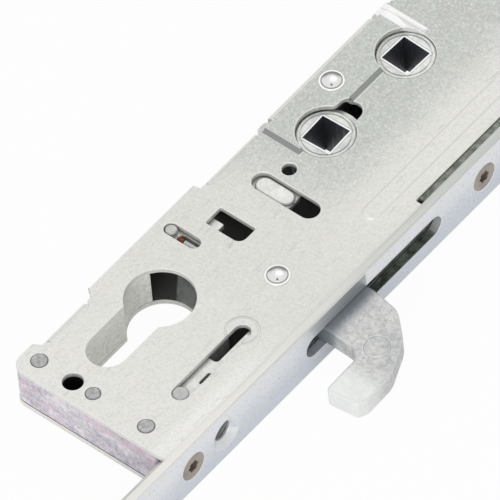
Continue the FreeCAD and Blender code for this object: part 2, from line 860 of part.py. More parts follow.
def make_follower(y, turn, with_nose):
    shoulder = fork_reach - 5.0
    corners = [
        (4.0, -fork_root_half),
        (shoulder, -fork_half, 3.0),
        (fork_reach, -fork_half, 1.2),
        (fork_reach, fork_half, 1.2),
        (shoulder, fork_half, 3.0),
        (4.0, fork_root_half),
    ]
    follower = hub(y).fuse(placed_at_rest(prism(corners, -half_fork, half_fork), y))
    gap = fork_pin_radius + pin_clearance
    follower = follower.cut(cam_slot((0, y), fork_pin_x, follower_angle, gap, 12.0, -half_fork - 1, half_fork + 1))
    if with_nose:
        nose = box(-nose_radius, nose_radius, 0, nose_reach, -half_fork, half_fork)
        nose = nose.fuse(disc(0, nose_reach, nose_radius, -half_fork, half_fork))
        follower = follower.fuse(placed_at_rest(nose, y))
    return one_solid(follower.cut(square_bore(y, turn)))


def hook_outline():
    """Nose, back and mouth of the hook, with the root that runs to its pivot."""
    x, y = hook_pivot
    root = hook_root_half
    mouth_y = y - hook_mouth_top
    return [
        (x + hook_nose_inner + 0.3, y - hook_drop, 1.0),
        (x + hook_reach - 1.1, y - hook_drop + 1.0, 1.2),
        (x + hook_reach, y - hook_drop + 3.6, 2.0),
        (x + hook_reach - 0.2, y - hook_drop + 12.6, 9.0),
        (x + hook_shoulder[0], y + hook_shoulder[1], 8.0),
        (x + hook_crown_start[0], y + hook_crown_start[1], 6.0),
        (x + hook_crown_x, y + hook_crown, 3.0),
        (x + hook_crown_x / 2, y + hook_crown - 1.0, 4.0),
        (x - 1.0, y + root, 3.0),
        (x - 5.6, y + 0.7, 4.0),
        (x - 3.6, y - root, 4.0),
        (x + 3.0, y - 1.8 * root),
        (x + 2 * root, mouth_y + 0.2, 2.0),
        (x + hook_nose_inner - 2.7, mouth_y - 0.2, 2.5),
        (x + hook_nose_inner, mouth_y - 2.6, 2.0),
    ]


def make_hook():
    body = prism(hook_outline(), -half_hook, half_hook)
    body = body.fuse(disc(hook_pivot_x, hook_pivot_y, hook_hub_radius, -half_hook, half_hook))
    tail = prism(rectangle(0, hook_tail_reach, -hook_tail_half, hook_tail_half), -half_hook, half_hook)
    tail = tail.common(disc(0, 0, hook_tail_reach, -half_hook, half_hook))
    tail.rotate(Vector(0, 0, 0), Vector(0, 0, 1), -hook_angle / 2)
    tail.translate(Vector(hook_pivot_x, hook_pivot_y, 0))
    body = one_solid(body.fuse(tail))
    rims = []
    for edge in body.Edges:
        middle = edge.CenterOfMass
        if abs(middle.z - half_hook) < 1e-6 and middle.x > backset + 1:
            rims.append(edge)
    body = body.makeChamfer(hook_rim_break, rims)
    low = -half_hook - 1
    high = half_hook + 1
    tools = [cam_slot(hook_pivot, hook_pin_x, hook_angle, hook_pin_radius + pin_clearance, 10.0, low, high)]
    tools.append(disc(hook_pivot_x, hook_pivot_y, pivot_radius + pivot_clearance, low, high))
    tools.append(disc(insert_place[0], insert_place[1], insert_radius, low, high))
    return one_solid(body.cut(tools))


def make_washers():
    rings = []
    face = half_hook + washer_clearance
    for low, high in ((face, inner_face), (-inner_face, -face)):
        ring = disc(hook_pivot_x, hook_pivot_y, washer_radius, low, high)
        rings.append(ring.cut(disc(hook_pivot_x, hook_pivot_y, pivot_radius + 2 * fit_gap, low - 1, high + 1)))
    return Part.makeCompound(rings)


def make_deadlock_slide():
    arch_back, arch_front, arch_top = deadlock_arch
    nose_low, nose_high = deadlock_nose
    lip = nose_low - 1.5
    corners = [
        (deadlock_back, deadlock_low, 0.8),
        (arch_back, deadlock_low, 0.8),
        (arch_back, arch_top, 0.8),
        (arch_front, arch_top, 0.8),
        (arch_front, deadlock_low, 0.6),
        (deadlock_front, deadlock_low, 0.6),
        (deadlock_front, nose_low, 1.0),
        (deadlock_nose_tip, nose_low, 0.6),
        (deadlock_nose_tip, nose_high, 0.6),
        (deadlock_front, nose_high, 1.0),
        (deadlock_front, deadlock_high, 1.5),
        (deadlock_upper_back, deadlock_high, 1.5),
        (deadlock_upper_back, lip, 1.0),
        (deadlock_back, lip - 2.5, 1.0),
    ]
    plate = prism(corners, layer_low, layer_high)
    boss_length = boss_slot[1] - 1.0 - deadlock_travel - boss_back
    boss_top = half_case - boss_below
    boss = slot_x(boss_y, boss_back, boss_back + boss_length, boss_half, layer_high - 0.1, boss_top)
    boss = one_solid(boss)
    rim = [edge for edge in boss.Edges if abs(edge.CenterOfMass.z - boss_top) < 1e-6]
    plate = plate.fuse(boss.makeChamfer(0.3, rim))
    low = layer_low - 1
    high = layer_high + 1
    step_back, step_front, cut_low, cut_step, cut_high = deadlock_cut
    hollow = [
        (step_back, cut_step, 0.6),
        (step_front, cut_step, 0.4),
        (step_front, cut_low, 0.6),
        (deadlock_front + 1, cut_low),
        (deadlock_front + 1, cut_high),
        (step_back, cut_high, 0.6),
    ]
    tools = [prism(hollow, low, high)]
    tools.append(slot_x(deadlock_pin_place[1], detent_low, detent_high, detent_half, low, high))
    neck = deadlock_pin_radius - wall_gap
    tools.append(disc(deadlock_pin_place[0], deadlock_pin_place[1], neck, low, high))
    return one_solid(plate.cut(tools))


def make_deadlock_pin():
    x, y = deadlock_pin_place
    head = broken_pin(x, y, deadlock_pin_radius, layer_high, half_case - deadlock_top_gap)
    return one_solid(head.fuse(disc(x, y, deadlock_pin_radius - wall_gap - fit_gap, layer_low, layer_high)))


def wire_section(mean_radius, wire_radius):
    """Six-sided section of a spring's wire, which keeps the coil light."""
    corners = []
    for index in range(7):
        angle = math.radians(60 * index + 30)
        corners.append(Vector(mean_radius + wire_radius * math.cos(angle), 0, wire_radius * math.sin(angle)))
    return Part.makePolygon(corners)


def coil(mean_radius, wire_radius, pitch, turns):
    """Coil that winds up from the origin round +Z."""
    helix = Part.makeHelix(pitch, pitch * turns, mean_radius)
    return Part.Wire(helix.Edges).makePipeShell([wire_section(mean_radius, wire_radius)], True, True)


def moved(shape, place, direction=(0, 0, 1)):
    turn = FreeCAD.Rotation(Vector(0, 0, 1), Vector(*direction))
    result = shape.copy()
    result.transformShape(FreeCAD.Placement(Vector(*place), turn).toMatrix())
    return result


def make_deadlock_spring():
    start = detent_low + detent_wire + 0.05
    length = plunger_low - detent_wire - 0.05 - start
    spring = coil(detent_coil_radius, detent_wire, length / detent_turns, detent_turns)
    return moved(spring, (start, deadlock_pin_place[1], (layer_low + layer_high) / 2), (1, 0, 0))


def make_detent_plunger():
    middle = (layer_low + layer_high) / 2
    body = rod_x(deadlock_pin_place[1], middle, plunger_radius, plunger_low, plunger_high)
    return body.makeChamfer(plunger_radius / 3, [body.Edges[0]])


def latch_wedge():
    """What the bevel takes off the latch, from its cover side."""
    start = backset + latch_bevel_start
    side = latch_half + fit_gap
    tip = latch_reach + fit_gap
    corners = [Vector(start, latch_low - 1, side), Vector(tip, latch_low - 1, side)]
    corners.append(Vector(tip, latch_low - 1, side - 2 * latch_tip_half - 1.1))
    corners.append(corners[0])
    return Part.Face(Part.makePolygon(corners)).extrude(Vector(0, latch_high - latch_low + 2, 0))


def make_latch():
    head = box(latch_rear, latch_reach, latch_low, latch_high, -latch_half, latch_half).cut(latch_wedge())
    tail_back = tail_face - tail_width
    foot = spindle_high + tail_drop
    root = latch_rear + 0.5
    corners = [
        (root, latch_high - 1.0),
        (tail_root, latch_high - 1.0, 1.0),
        (tail_root, tail_bend_high, 2.0),
        (tail_back, tail_bend_low + tail_width, 3.0),
        (tail_back, foot, 0.6),
        (tail_face, foot, 0.6),
        (tail_face, tail_bend_low, 4.0),
        (tail_root + 0.5, latch_low + 1.0, 2.0),
        (root, latch_low + 1.0),
    ]
    tail = prism(corners, -half_fork, half_fork)
    spigot = rod_x(spring_axis_y, 0, spigot_radius, spigot_back, tail_root + 0.5)
    return one_solid(head.fuse([tail, spigot]))


def make_latch_spring_seat():
    low = seat_face - seat_flange
    seat = box(wall_inside, low, spring_axis_y - seat_half, spring_axis_y + seat_half, -inner_face, inner_face)
    return one_solid(seat.fuse(rod_x(spring_axis_y, 0, spigot_radius, low - 0.1, seat_face - 0.2)))


def make_latch_spring():
    low = seat_face - seat_flange
    free = tail_root - low
    spring = coil(latch_coil_radius, latch_wire, (free - 2 * latch_wire) / latch_turns, latch_turns)
    return moved(spring, (low + latch_wire, spring_axis_y, 0), (1, 0, 0))


def make_return_spring():
    """Two-leg coil round its post, with one straight leg to each follower."""
    height = return_pitch * return_turns
    winding = coil(return_coil_radius, return_wire, return_pitch, return_turns)
    section = Part.Face(wire_section(return_coil_radius, return_wire))
    low_leg = post[1] - spindle_low - leg_stop
    high_leg = spindle_high - post[1] - leg_stop
    low = section.extrude(Vector(0, -low_leg, 0))
    high = section.translated(Vector(0, 0, height)).extrude(Vector(0, high_leg, 0))
    return one_solid(moved(winding.fuse([low, high]), (post[0], post[1], -height / 2)))


def make_spring_bush():
    x, y = post
    bush = disc(x, y, bush_radius, -inner_face, inner_face)
    return one_solid(bush.cut(disc(x, y, rivet_shank_radius + bush_clearance, -half_case, half_case)))


write("cover_plate", make_cover())
write("base_plate", make_base())
write("end_block", make_end_block())
write("top_block", make_top_block())
write("screw_block", make_screw_block())
write("faceplate", make_faceplate())
write("faceplate_screws", Part.makeCompound([make_torx(y) for y in torx_y]))
write("staked_pins", make_staked_pins())
write("hook_rivet", make_rivet(hook_pivot, half_case, pivot_radius))
write("spring_rivet", make_rivet(post, half_case + raise_height, rivet_shank_radius))
write("hook_washers", make_washers())
write("drive_rail", make_rail())
write("upper_slide_plate", make_slide_plate(layer_low, layer_high, True))
write("lower_slide_plate", make_slide_plate(-layer_high, -layer_low, False))
write("slide_guide_pin", make_guide_pin())
write("hook_drive_pin", disc(hook_pin_x, hook_pivot_y - travel / 2, hook_pin_radius - fit_gap, -layer_high, layer_high))
write("fork_drive_pins", make_fork_pins())
write("lower_follower", make_follower(spindle_low, square_turn, False))
write("upper_follower", make_follower(spindle_high, -square_turn, True))
write("hook", make_hook())
write("hook_insert", broken_pin(insert_place[0], insert_place[1], insert_radius - fit_gap, -half_hook, half_hook + 0.1))
write("deadlock_slide", make_deadlock_slide())
write("deadlock_pin", make_deadlock_pin())
write("deadlock_spring", make_deadlock_spring())
write("detent_plunger", make_detent_plunger())
write("latch_bolt", make_latch())
write("latch_spring", make_latch_spring())
write("latch_spring_seat", make_latch_spring_seat())
write("return_spring", make_return_spring())
write("spring_bush", make_spring_bush())
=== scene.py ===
import bpy
import math
from mathutils import Matrix, Vector


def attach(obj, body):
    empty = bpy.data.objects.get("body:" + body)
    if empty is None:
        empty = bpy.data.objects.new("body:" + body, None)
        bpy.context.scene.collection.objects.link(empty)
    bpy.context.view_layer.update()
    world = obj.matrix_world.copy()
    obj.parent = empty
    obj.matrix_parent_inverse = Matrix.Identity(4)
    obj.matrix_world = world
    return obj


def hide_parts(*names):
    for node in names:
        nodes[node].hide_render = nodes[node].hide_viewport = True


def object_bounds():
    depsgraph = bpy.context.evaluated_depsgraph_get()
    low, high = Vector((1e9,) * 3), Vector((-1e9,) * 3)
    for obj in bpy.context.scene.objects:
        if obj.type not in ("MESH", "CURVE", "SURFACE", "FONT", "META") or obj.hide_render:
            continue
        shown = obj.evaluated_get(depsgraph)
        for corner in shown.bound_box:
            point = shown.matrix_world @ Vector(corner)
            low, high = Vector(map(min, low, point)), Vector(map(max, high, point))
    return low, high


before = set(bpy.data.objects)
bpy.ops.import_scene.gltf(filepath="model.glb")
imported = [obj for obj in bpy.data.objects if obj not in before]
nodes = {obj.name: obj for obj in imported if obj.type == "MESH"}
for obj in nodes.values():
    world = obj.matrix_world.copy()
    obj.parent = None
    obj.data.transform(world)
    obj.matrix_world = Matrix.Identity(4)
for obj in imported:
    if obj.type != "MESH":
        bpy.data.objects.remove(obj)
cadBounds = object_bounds()
scene = bpy.context.scene
millimetre = 0.001
print("frame loaded")


# Shader maths: a socket that can be written in sums

class Signal:
    def __init__(self, tree, socket=None):
        self.tree = tree
        self.socket = socket

    def node(self, kind, settings=None, inputs=None, output=0):
        made = self.tree.nodes.new(kind)
        for name, value in (settings or {}).items():
            setattr(made, name, value)
        for name, value in (inputs or {}).items():
            if isinstance(value, Signal):
                self.tree.links.new(value.socket, made.inputs[name])
            else:
                made.inputs[name].default_value = value
        return Signal(self.tree, made.outputs[output])

    def maths(self, operation, first, second):
        return self.node("ShaderNodeMath", {"operation": operation}, {0: first, 1: second})

    def __add__(self, other):
        return self.maths("ADD", self, other)

    def __sub__(self, other):
        return self.maths("SUBTRACT", self, other)

    def __rsub__(self, other):
        return self.maths("SUBTRACT", other, self)

    def __mul__(self, other):
        return self.maths("MULTIPLY", self, other)

    __radd__ = __add__
    __rmul__ = __mul__

    def size(self):
        return self.maths("ABSOLUTE", self, 0.0)

    def root(self):
        return self.maths("SQRT", self, 0.0)

    def clamped(self):
        return self.node("ShaderNodeClamp", None, {"Value": self})

    def step(self, low, high):
        # 0 at the first level and 1 at the second, which may be the lower one
        return self.node("ShaderNodeMapRange", {"interpolation_type": "SMOOTHSTEP"},
                         {"Value": self, "From Min": low, "From Max": high})

    def blend(self, first, second):
        # sockets 6 and 7 are the node's two colours, and output 2 its mixed one
        return self.node("ShaderNodeMix", {"data_type": "RGBA"}, {0: self, 6: first, 7: second}, 2)

    def axes(self):
        split = self.tree.nodes.new("ShaderNodeSeparateXYZ")
        self.tree.links.new(self.socket, split.inputs[0])
        return [Signal(self.tree, output) for output in split.outputs]


def paint(level):
    # a screen colour out of 255 as the shader's own linear colour
    linear = []
    for part in level:
        share = part / 255
        linear.append(share / 12.92 if share <= 0.04045 else ((share + 0.055) / 1.055) ** 2.4)
    return (linear[0], linear[1], linear[2], 1.0)


def startMaterial(name, metallic):
    material = bpy.data.materials.new(name)
    material.use_nodes = True
    shader = material.node_tree.nodes["Principled BSDF"]
    shader.inputs["Metallic"].default_value = metallic
    place = Signal(material.node_tree).node("ShaderNodeTexCoord", output="Object")
    return material, shader, place


def noise(place, scale, detail, roughness, stretch=None):
    if stretch:
        place = place.node("ShaderNodeMapping", None, {"Vector": place, "Scale": stretch})
    settings = {"Vector": place, "Scale": scale, "Detail": detail, "Roughness": roughness}
    return place.node("ShaderNodeTexNoise", None, settings)


def bump(height, distance, strength):
    return height.node("ShaderNodeBump", None, {"Height": height, "Distance": distance, "Strength": strength})


def finishMaterial(shader, colour, roughness, normal):
    for name, signal in (("Base Color", colour), ("Roughness", roughness), ("Normal", normal)):
        signal.tree.links.new(signal.socket, shader.inputs[name])


def layered(colour, values, layers):
    # lays tones over a colour, each where its mask is 1 and as strongly as its share says
    for mask, tone, share in layers:
        colour = (mask * share).blend(colour, paint(values[tone]))
    return colour


def distanceFrom(x, y, middle):
    fromX = x - middle[0]
    fromY = y - middle[1]
    return (fromX * fromX + fromY * fromY).root()


def trueNormal(signal):
    return signal.node("ShaderNodeNewGeometry", output="True Normal").axes()


def between(value, low, high, soft=0.0001):
    # 1 between two places, with a soft end of that length each side
    return value.step(low - soft, low + soft) * value.step(high + soft, high - soft)


def brokenEdge(signal, low=0.2, high=0.97):
    # 1 on the faces that tilt between upright and flat, which are the rounded edges
    tilt = trueNormal(signal)[2].size()
    return between(tilt, low, high, 0.01)


# Each finish has its tones as screen colours, its noises as scale, detail and roughness, and the places
# of its painted tones in metres: a pair for a step along an axis, or the two ends of a band and its softness

# Pressed sheet of the case: zinc plate with cloudy patches, fine sparkle and scratches, with painted
# highlights on its edges, front bend and upper slope, a painted glint, and painted shade on its other slopes
# and inside the case
sheetValues = {
    "low": (238, 237, 232), "middle": (226, 226, 220), "high": (199, 202, 197), "front": (232, 231, 225),
    "footHighlight": (252, 252, 248), "green": (186, 197, 188), "pink": (214, 203, 203), "rust": (196, 184, 178),
    "bright": (244, 244, 240), "scratched": (176, 180, 175), "edgeHighlight": (250, 250, 246), "insideShade": (34, 35, 34),
    "glint": (248, 255, 250), "lowSlopeShade": (128, 130, 130), "highSlopeHighlight": (255, 255, 254),
    "frontSlopeShade": (158, 163, 157), "slopeShadeLine": (92, 97, 92),
    "grainNoise": (1700, 3, 0.7), "tintNoise": (1000, 3, 0.65), "cloudNoise": (70, 5, 0.62),
    "scratchNoise": (260, 2, 0.5, (9, 0.6, 1)), "rustNoise": (55, 3, 0.6), "streakNoise": (300, 3, 0.6),
    "middleY": (-0.040, 0.034), "frontY": (0.020, 0.060), "highY": (0.030, 0.062), "highX": (0.022, 0.006),
    "footX": (0.026, 0.030), "footY": (0.015, -0.015), "raisedZ": (0.00676, 0.00684),
    "lowSlopeY": (0.0530, 0.0541), "lowSlopeX": (-0.0008, -0.0011), "highSlopeY": (0.0972, 0.1014, 0.0002),
    "highSlopeX": (-0.0006, -0.0012), "highSlopeZ": (0.0060, 0.0064),
    "highLineY": (0.0995, 0.0998, 0.00008), "highLineX": (-0.0008, -0.0012),
    "frontLineX": (-0.00185, -0.0015, 0.00006), "frontLineY": (0.0545, 0.0980),
    "frontSlopeX": (-0.0015, -0.0009, 0.00006), "frontSlopeY": (0.0535, 0.0990),
    "flangeX": (-0.0105, -0.0110), "flangeTilt": (-0.5, -0.6), "insideZ": (0.00532, 0.00522),
    "glintTurn": (0.8, 0.6), "glintLine": (0.0024, 0.0030), "glintX": (0.010, 0.008),
    "glintY": (0.0170, 0.0160), "glintZ": (-0.0049, -0.0051),
    "metallic": 0.3, "roughness": 0.32, "roughGrain": 0.22, "roughScratch": 0.12,
    "bumpHeight": 0.00002, "bumpStrength": 0.7,
}


def makeSheetZinc():
    values = sheetValues
    material, shader, place = startMaterial("sheetZinc", values["metallic"])
    x, y, z = place.axes()
    grain = noise(place, *values["grainNoise"])
    tint = noise(place, *values["tintNoise"])
    cloud = noise(place, *values["cloudNoise"]).step(0.3, 0.7)
    scratch = noise(place, *values["scratchNoise"]).step(0.62, 0.74)
    rust = noise(place, *values["rustNoise"]).step(0.54, 0.70)
    high = (y.step(*values["highY"]) * x.step(*values["highX"])).clamped()
    # painted highlight near the front bend at the low end
    footHighlight = x.step(*values["footX"]) * y.step(*values["footY"])
    colour = y.step(*values["middleY"]).blend(paint(values["low"]), paint(values["middle"]))
    colour = layered(colour, values, (
        (y.step(*values["frontY"]), "front", 1),
        (footHighlight, "footHighlight", 0.7),
        (high, "high", 1),
        (cloud * (high * 0.32 + 0.06), "green", 1),
        (rust * high, "rust", 0.4),
        (tint.step(0.51, 0.62) * (high * 0.3 + 0.16), "green", 1),
        (tint.step(0.48, 0.38), "pink", 0.3),
        (grain.step(0.52, 0.63), "bright", 0.5),
        (grain.step(0.47, 0.37) * (high * 0.5 + 0.25), "scratched", 1),
        (scratch, "scratched", 0.3),
        # painted highlight on the rounded edges
        (brokenEdge(place), "edgeHighlight", 0.85),
    ))
    raised = z.step(*values["raisedZ"])
    # painted shade on the raised area's lower slope
    lowSlopeShade = between(y, *values["lowSlopeY"]) * x.step(*values["lowSlopeX"]) * raised
    # painted highlight on the raised area's upper slope
    highSlopeHighlight = between(y, *values["highSlopeY"]) * x.step(*values["highSlopeX"])
    # painted shade along the raised area's creases and on its front slope
    highShadeLine = between(y, *values["highLineY"]) * x.step(*values["highLineX"])
    frontShadeLine = between(x, *values["frontLineX"]) * between(y, *values["frontLineY"]) * raised
    frontSlopeShade = between(x, *values["frontSlopeX"]) * between(y, *values["frontSlopeY"]) * raised
    outward = trueNormal(place)[0].step(*values["flangeTilt"]) * x.step(*values["flangeX"])
    # painted shade on the faces inside the case, leaving out the back flanges' outer faces
    insideShade = z.size().step(*values["insideZ"]) * (1 - outward)
    turnX, turnY = values["glintTurn"]
    glint = (x * turnX + y * turnY).step(*values["glintLine"]) * y.step(*values["glintY"])
    glint = glint * x.step(*values["glintX"]) * z.step(*values["glintZ"])
    streak = noise(place, *values["streakNoise"]).step(0.35, 0.6)
    colour = layered(colour, values, (
        (lowSlopeShade, "lowSlopeShade", 0.85),
        (highSlopeHighlight * z.step(*values["highSlopeZ"]), "highSlopeHighlight", 0.9),
        (highShadeLine, "frontSlopeShade", 0.35),
        (frontSlopeShade, "frontSlopeShade", 0.9),
        (frontShadeLine, "slopeShadeLine", 0.8),
        (insideShade, "insideShade", 1),
        (glint * insideShade * (streak * 0.6 + 0.4), "glint", 1),
    ))
    roughness = grain * values["roughGrain"] + scratch * values["roughScratch"] + values["roughness"]
    finishMaterial(shader, colour, roughness,
                   bump(grain * 0.8 + cloud * 0.2, values["bumpHeight"], values["bumpStrength"]))
    return material


# Faceplate: cooler and smoother, brushed along its length, with a darker patch behind the hook that is the
# hook's painted shade and reflection, and painted highlights on its edges
plateValues = {
    "under": (212, 218, 227), "over": (238, 240, 243), "side": (217, 216, 211), "sideHigh": (178, 180, 175),
    "speck": (170, 178, 190), "mottleAndHookShade": (132, 142, 144), "edgeHighlight": (246, 246, 244), "wallPale": (136, 146, 138),
    "wallDark": (72, 80, 76),
    "brushedNoise": (700, 3, 0.6, (1, 0.04, 1)), "cloudNoise": (60, 4, 0.6), "grainNoise": (1200, 2, 0.6),
    "wallNoise": (420, 4, 0.7),
    "overZ": (-0.0055, 0.0065), "patchY": (0.006, 0.030), "patchEndY": (0.0345, 0.0337),
    "patchX": (0.0340, 0.0346), "wallY": (0.034, 0.060, 0.002), "wallX": (0.03478, 0.03470),
    "wallZ": (0.0066, 0.0062), "sideY": (-0.045, 0.075), "sideZ": (0.00770, 0.00785),
    "metallic": 0.4, "roughness": 0.22, "roughBrushed": 0.22, "bumpHeight": 0.00001, "bumpStrength": 0.5,
}


def makePlateZinc():
    values = plateValues
    material, shader, place = startMaterial("plateZinc", values["metallic"])
    x, y, z = place.axes()
    brushed = noise(place, *values["brushedNoise"])
    cloud = noise(place, *values["cloudNoise"]).step(0.3, 0.7)
    grain = noise(place, *values["grainNoise"])
    over = (z.step(*values["overZ"]) + cloud * 0.25 - 0.12).clamped()
    colour = over.blend(paint(values["under"]), paint(values["over"]))
    # painted shade and reflection of the hook, darker behind it
    mottleAndHookShade = y.step(*values["patchY"]) * y.step(*values["patchEndY"]) * x.step(*values["patchX"])
    colour = layered(colour, values, ((mottleAndHookShade, "mottleAndHookShade", 0.75),))
    slotWall = between(y, *values["wallY"]) * x.step(*values["wallX"]) * z.size().step(*values["wallZ"])
    mottle = noise(place, *values["wallNoise"]).step(0.35, 0.65)
    colour = slotWall.blend(colour, mottle.blend(paint(values["wallPale"]), paint(values["wallDark"])))
    colour = layered(colour, values, ((grain.step(0.55, 0.68), "speck", 0.4),))
    side = y.step(*values["sideY"]).blend(paint(values["side"]), paint(values["sideHigh"]))
    colour = z.step(*values["sideZ"]).blend(colour, side)
    # painted highlight on the rounded edges
    colour = layered(colour, values, ((brokenEdge(place), "edgeHighlight", 0.6),))
    finishMaterial(shader, colour, brushed * values["roughBrushed"] + values["roughness"],
                   bump(brushed, values["bumpHeight"], values["bumpStrength"]))
    return material


# Die-cast block: violet grey with streaky blotches along its faces, side walls painted near white as a
# painted highlight, and a screw bore painted dark as painted shade
blockValues = {
    "pale": (246, 241, 245), "dark": (184, 178, 193), "pink": (224, 196, 212), "green": (190, 196, 188),
    "wallHighlight": (255, 255, 250), "wallHighlightGrain": (234, 234, 228), "bore": (26, 26, 28),
    "blotchNoise": (240, 5, 0.75, (0.55, 1, 1.6)), "grainNoise": (950, 3, 0.75),
    "pinkNoise": (150, 4, 0.7, (0.5, 1, 1.5)), "tintNoise": (60, 3, 0.6),
    "boreMiddle": (-0.0005, -0.0317), "boreRadius": 0.0027, "boreSoft": 0.0001,
    "wallHighlightZ": (0.0062, 0.0058), "wallHighlightLowY": (-0.0355, -0.0345), "wallHighlightHighY": (0.030, 0.029),
    "metallic": 0.2, "roughness": 0.35, "roughGrain": 0.3, "bumpHeight": 0.00005, "bumpStrength": 0.8,
}


def makeBlockCasting():
    values = blockValues
    material, shader, place = startMaterial("blockCasting", values["metallic"])
    x, y, z = place.axes()
    blotch = noise(place, *values["blotchNoise"]).step(0.36, 0.62)
    grain = noise(place, *values["grainNoise"]).step(0.32, 0.66)
    pink = noise(place, *values["pinkNoise"]).step(0.50, 0.64)
    tint = noise(place, *values["tintNoise"]).step(0.52, 0.7)
    dark = (blotch * 0.6 + grain * 0.6 - 0.15).clamped()
    colour = dark.blend(paint(values["pale"]), paint(values["dark"]))
    colour = layered(colour, values, ((pink, "pink", 0.6), (tint, "green", 0.35)))
    # painted highlight on the block's side walls, near white with grain
    wallHighlight = z.size().step(*values["wallHighlightZ"]) * y.step(*values["wallHighlightLowY"])
    wallHighlight = wallHighlight * y.step(*values["wallHighlightHighY"])
    colour = wallHighlight.blend(colour, grain.blend(paint(values["wallHighlight"]), paint(values["wallHighlightGrain"])))
    # painted shade inside the screw bore
    fromBore = distanceFrom(x, y, values["boreMiddle"])
    inBore = fromBore.step(values["boreRadius"] + values["boreSoft"], values["boreRadius"])
    colour = layered(colour, values, ((inBore, "bore", 1),))
    finishMaterial(shader, colour, grain * values["roughGrain"] + values["roughness"],
                   bump(grain + blotch * 0.5, values["bumpHeight"], values["bumpStrength"]))
    return material


# Hook: cast and plated, grainy, with faint pink and green tints, painted highlights on its tip and edges, and
# painted shade where it meets the faceplate
hookValues = {
    "pale": (226, 226, 224), "dark": (182, 185, 184), "pink": (216, 200, 204), "green": (196, 206, 196),
    "near": (120, 128, 138), "tipHighlight": (252, 254, 252),
    "grainNoise": (900, 3, 0.7), "patchNoise": (160, 4, 0.65), "speckNoise": (1500, 3, 0.75),
    "pinkNoise": (90, 2, 0.5), "greenNoise": (70, 2, 0.5, (1, 1.4, 2)),
    "tipY": (0.0165, 0.0095), "nearX": (0.0415, 0.0382), "nearRagged": 0.004,
    "metallic": 0.3, "roughness": 0.36, "roughGrain": 0.25, "bumpHeight": 0.00007, "bumpStrength": 0.9,
}


def makeHookCasting():
    values = hookValues
    material, shader, place = startMaterial("hookCasting", values["metallic"])
    x, y, z = place.axes()
    grain = noise(place, *values["grainNoise"])
    mottleAndHookShade = noise(place, *values["patchNoise"]).step(0.35, 0.68)
    dark = (mottleAndHookShade * 0.4 + grain.step(0.36, 0.64) * 0.5 - 0.05).clamped()
    colour = dark.blend(paint(values["pale"]), paint(values["dark"]))
    colour = layered(colour, values, (
        (noise(place, *values["speckNoise"]).step(0.54, 0.64), "near", 0.35),
        (noise(place, *values["pinkNoise"]).step(0.52, 0.72), "pink", 0.3),
        (noise(place, *values["greenNoise"]).step(0.54, 0.74), "green", 0.3),
        # painted highlights on the tip and the rounded edges
        (y.step(*values["tipY"]), "tipHighlight", 0.75),
        (brokenEdge(place), "tipHighlight", 0.5),
        ((x + grain * values["nearRagged"]).step(*values["nearX"]), "near", 0.85),
    ))
    finishMaterial(shader, colour, grain * values["roughGrain"] + values["roughness"],
                   bump(grain * 0.8 + mottleAndHookShade * 0.4, values["bumpHeight"], values["bumpStrength"]))
    return material


# Rail: dull grey green where it lies open, pale low down as a painted highlight
railValues = {
    "dark": (92, 98, 88), "middle": (140, 146, 136), "pale": (206, 207, 204),
    "roughNoise": (420, 4, 0.7), "paleY": (0.020, -0.010),
    "metallic": 0.4, "roughness": 0.35, "roughGrain": 0.3, "bumpHeight": 0.00006, "bumpStrength": 0.8,
}


def makeRailSteel():
    values = railValues
    material, shader, place = startMaterial("railSteel", values["metallic"])
    x, y, z = place.axes()
    rough = noise(place, *values["roughNoise"])
    colour = rough.step(0.35, 0.65).blend(paint(values["middle"]), paint(values["dark"]))
    # painted highlight making the low end pale
    colour = layered(colour, values, ((y.step(*values["paleY"]), "pale", 1),))
    finishMaterial(shader, colour, rough * values["roughGrain"] + values["roughness"],
                   bump(rough, values["bumpHeight"], values["bumpStrength"]))
    return material


# Followers: sintered hubs with a bright rim as a painted highlight round their square bores, which are
# painted dark as painted shade, each turned by a few degrees
hubValues = {
    "pale": (236, 237, 233), "shade": (186, 189, 187), "rimHighlight": (252, 252, 250), "beyond": (150, 152, 152),
    "bore": (58, 60, 68), "streak": (150, 158, 178),
    "grainNoise": (1300, 3, 0.6), "wearNoise": (240, 3, 0.6), "streakNoise": (350, 3, 0.6, (3, 3, 0.35)),
    "lowerSpindle": 0.062, "upperSpindle": 0.092, "turn": 2.0, "half": 0.00405, "rimWidth": 0.00042,
    "rimSoft": 0.00004, "beyondReach": 1.7, "beyondSoft": 0.00008, "boreSoft": (0.00005, 0.00002),
    "metallic": 0.3, "roughness": 0.3, "roughGrain": 0.25, "bumpHeight": 0.00003, "bumpStrength": 0.7,
}


